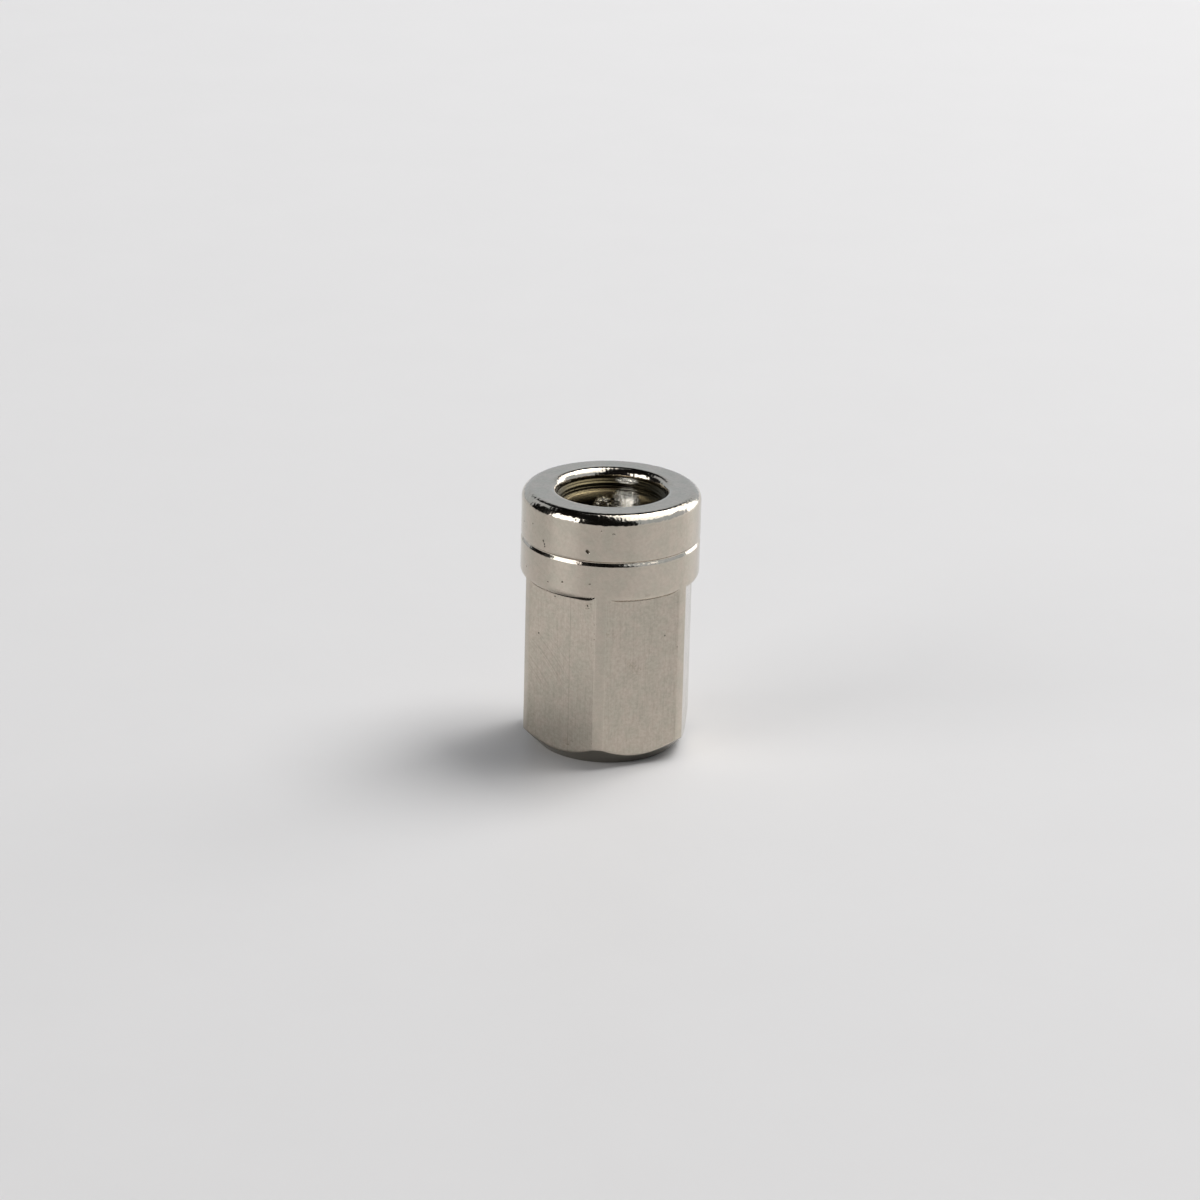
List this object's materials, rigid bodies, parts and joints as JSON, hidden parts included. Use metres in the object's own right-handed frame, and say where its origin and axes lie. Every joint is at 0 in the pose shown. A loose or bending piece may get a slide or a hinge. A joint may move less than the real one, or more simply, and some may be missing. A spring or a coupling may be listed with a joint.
{
  "type": "cap nut",
  "caption": "Closed cap nut with a round grooved collar, milled hexagon flats and a fine thread in its mouth.",
  "frame": {"origin": "on the axis, on the face of the closed end that the nut stands on", "axes": "+Z along the axis, out of the threaded mouth; +X square to one of the flats"},
  "size_m": [0.0168, 0.0168, 0.0252],
  "materials": {
    "nickel_plate": "nickel plated brass: polished collar, satin flats"
  },
  "bodies": {
    "root": {"cap_nut": "nickel_plate"}
  },
  "joints": []
}
